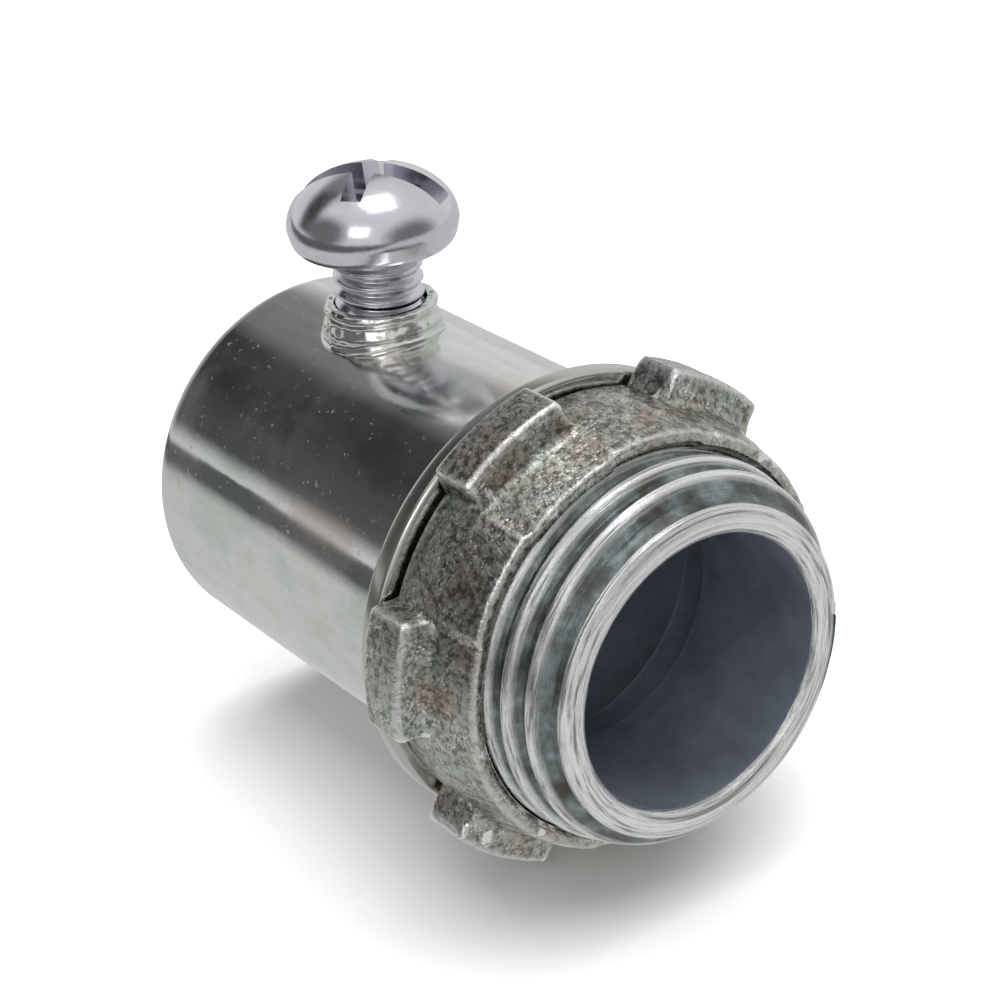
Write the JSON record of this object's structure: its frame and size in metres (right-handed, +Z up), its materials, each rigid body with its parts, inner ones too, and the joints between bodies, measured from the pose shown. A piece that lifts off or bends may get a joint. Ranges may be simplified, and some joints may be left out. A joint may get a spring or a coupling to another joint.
{
  "type": "set-screw conduit connector",
  "caption": "Short tubular conduit connector: plain sleeve with a side clamping screw, a shoulder, a threaded spigot and a lugged locknut.",
  "frame": {"origin": "on the fitting's axis, in the front face of the shoulder that bears on the box wall", "axes": "+X along the axis towards the threaded end, +Z up through the clamping screw, +Y to the left seen from the sleeve's open end"},
  "size_m": [0.0342, 0.0266, 0.0323],
  "materials": {
    "plated_steel": "bright zinc plate, smooth, streaked by drawing",
    "screw_steel": "bright zinc plate, smooth",
    "cast_nut": "zinc plate over a rough casting"
  },
  "bodies": {
    "connector_body": {"connector_body": "plated_steel"},
    "set_screw": {"set_screw": "screw_steel"},
    "locknut": {"locknut": "cast_nut"}
  },
  "joints": [
    {"name": "set_screw_travel", "type": "slide", "parent": "connector_body", "child": "set_screw", "axis": [0, 0, -1], "range_m": [-0.0022, 0.0027]},
    {"name": "locknut_travel", "type": "slide", "parent": "connector_body", "child": "locknut", "axis": [1, 0, 0], "range_m": [0, 0.012]}
  ]
}
